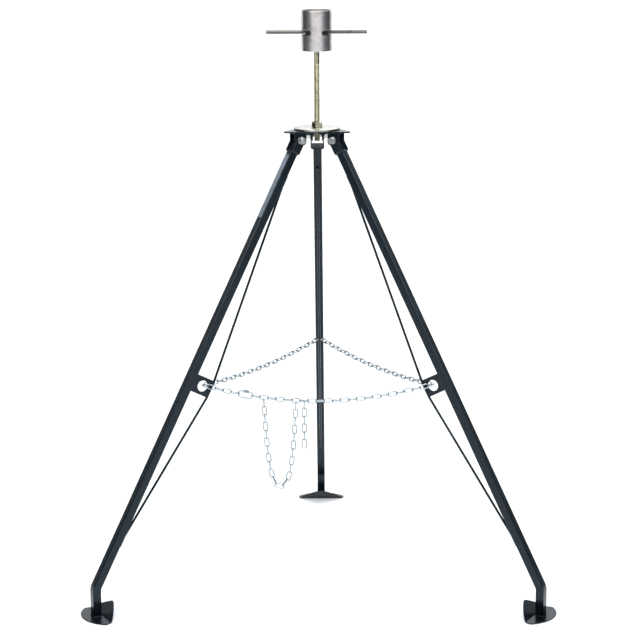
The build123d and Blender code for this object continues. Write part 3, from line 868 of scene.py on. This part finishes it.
link = wire_ring(21.35 * MM, 7.6 * MM, 3.2 * MM, flash=0.09)
quick = wire_ring(34 * MM, 13 * MM, 3.6 * MM, bend_steps=15, around=16)
print("a link has", link.shape[0] * link.shape[1], "faces")

# %% Lay a link on every frame
chain_nodes = [
    name for name in body_of
    if slot_of[name] == "chain_zinc" and name != "quick_link_sleeve"
]
for name in chain_nodes:
    centre, axes = link_frames(name)
    ring = quick if name == "quick_link" else link
    rings = np.einsum("sak,nkm->nsam", ring, axes) + centre[:, None, None]
    make_piece(f"{name}_links", [shell(rings, loop=True)], name, chain_zinc, [name], crease=60)

# %% [markdown]
# ## Label
#
# A long pale label is stuck to the outer face of the left leg. It is left blank.

# %% Blank label
label_film, tree, bsdf = new_finish("satin vinyl label", IOR=1.46, Metallic=0.0)
coords = add(tree, "ShaderNodeTexCoord")
mottle = add(tree, "ShaderNodeTexNoise", Vector=(coords, "Object"), Scale=45.0, Detail=3.0)
print_tint = ramp(tree, (mottle, "Fac"), [(0.3, "#56606c"), (0.7, "#7d8794")])
sheen = add(tree, "ShaderNodeMapRange", Value=(mottle, "Fac"), To_Min=0.3, To_Max=0.45)
feed(tree, bsdf, "Base Color", print_tint, "Color")
feed(tree, bsdf, "Roughness", sheen, "Result")
label_half, film = 9.5 * MM, 0.12 * MM
label_outline = rounded_square(2 * label_half, 2 * MM)
label_outline[:, 1] = np.where(label_outline[:, 1] > 0, 79 * MM, -79 * MM) + label_outline[:, 1]
label_middle = along_leg(135 * MM, -tube_half)
label_rings = np.stack([
    label_middle + label_outline[:, :1] * sideways
    - label_outline[:, 1:] * down_leg - lift * inwards
    for lift in (-film, film)
])
label_points, label_faces = shell(label_rings)
make_piece(
    "blank_label", [(turned_to(label_points, azimuths["left"]), label_faces)], "leg_tube_left",
    label_film,
)

# %% [markdown]
# ## Studio
#
# A pale seamless sweep, a surround with bright and dark sides, and three large soft lights:
# glossy black paint shows nothing but what it reflects, so the lights' size matters more than
# their strength.

# %% Floor and backdrop
floor_paper, tree, bsdf = new_finish("matt white paper sweep", Metallic=0.0, Roughness=0.85)
coords = add(tree, "ShaderNodeTexCoord")
fibre = add(tree, "ShaderNodeTexNoise", Vector=(coords, "Object"), Scale=80.0, Detail=3.0)
paper_tint = ramp(tree, (fibre, "Fac"), [(0.2, "#f4f4f4"), (0.8, "#f9f9f9")])
feed(tree, bsdf, "Base Color", paper_tint, "Color")

sweep_line = rounded_path([(0, -8, 0), (0, 5, 0), (0, 5, 6)], 2.5, steps=24)
sweep_points = sweep_line[:, None] + np.array([[-8.0, 0, 0], [8.0, 0, 0]])[None]
rows = len(sweep_line)
sweep_faces = [[2 * k, 2 * k + 1, 2 * k + 3, 2 * k + 2] for k in range(rows - 1)]
mesh = bpy.data.meshes.new("paper_sweep")
mesh.from_pydata(sweep_points.reshape(-1, 3), [], sweep_faces)
mesh.shade_smooth()
mesh.materials.append(floor_paper)
sweep = bpy.data.objects.new("paper_sweep", mesh)
bpy.context.scene.collection.objects.link(sweep)

# %% Lights
# The surround is bright before and behind the stand and dark to its left and right, as between
# two black boards. That gives every tube and cylinder its dark edges.
world = bpy.data.worlds.new("studio")
bpy.context.scene.world = world
world.use_nodes = True
tree = world.node_tree
direction = add(tree, "ShaderNodeTexCoord")
parts = add(tree, "ShaderNodeSeparateXYZ", Vector=(direction, "Generated"))
to_side = add(tree, "ShaderNodeMath", {"operation": "ABSOLUTE"}, _0=(parts, "X"))
surround = ramp(
    tree, (to_side, "Value"),
    [(0.0, "#f4f8fc"), (0.5, "#e2eaf2"), (0.78, "#4c565f"), (0.95, "#1c2226")],
)
tree.links.new(surround.outputs["Color"], tree.nodes["Background"].inputs["Color"])
tree.nodes["Background"].inputs["Strength"].default_value = 0.85


def soft_light(name, place, target, size, power, tint):
    """A square area light at a place, facing a target: its -Z points from one to the other."""
    lamp = bpy.data.lights.new(name, "AREA")
    lamp.size, lamp.energy, lamp.color = size, power, linear(tint)[:3]
    holder = bpy.data.objects.new(name, lamp)
    back = np.subtract(place, target)
    back = back / np.linalg.norm(back)
    right = np.cross([0, 0, 1.0], back)
    right /= np.linalg.norm(right)
    turn = np.stack([right, np.cross(back, right), back], -1)
    holder.matrix_world = Matrix.Translation(place) @ Matrix(turn.tolist()).to_4x4()
    bpy.context.scene.collection.objects.link(holder)
    print(name, "at", place)


soft_light("key", (-1.6, -3.4, 4.2), (0, 0, 0.7), 2.4, 170, "#fffaf4")
soft_light("fill", (2.4, -3.0, 3.4), (0, 0, 0.7), 2.2, 110, "#f2f7ff")
soft_light("back", (0.6, 3.0, 3.8), (0, 0.6, 0.4), 2.4, 110, "#ffffff")

# %% Camera
# A long lens a little above head height, looking slightly down.
camera_data = bpy.data.cameras.new("camera")
camera_data.sensor_width = 36
camera_data.lens = 114.8
camera_data.shift_y = -0.01575
camera = bpy.data.objects.new("camera", camera_data)
bpy.context.scene.collection.objects.link(camera)
heading, tilt, roll = 0.0093, radians(77.21), -0.0051
stand_off = Matrix.Translation((0.0052, -5.245, 1.920))
camera.matrix_world = (
    Matrix.Rotation(heading, 4, "Z") @ stand_off
    @ Matrix.Rotation(tilt, 4, "X") @ Matrix.Rotation(roll, 4, "Z")
)
bpy.context.scene.camera = camera
bpy.context.scene.view_settings.view_transform = "Standard"
print("camera ready")
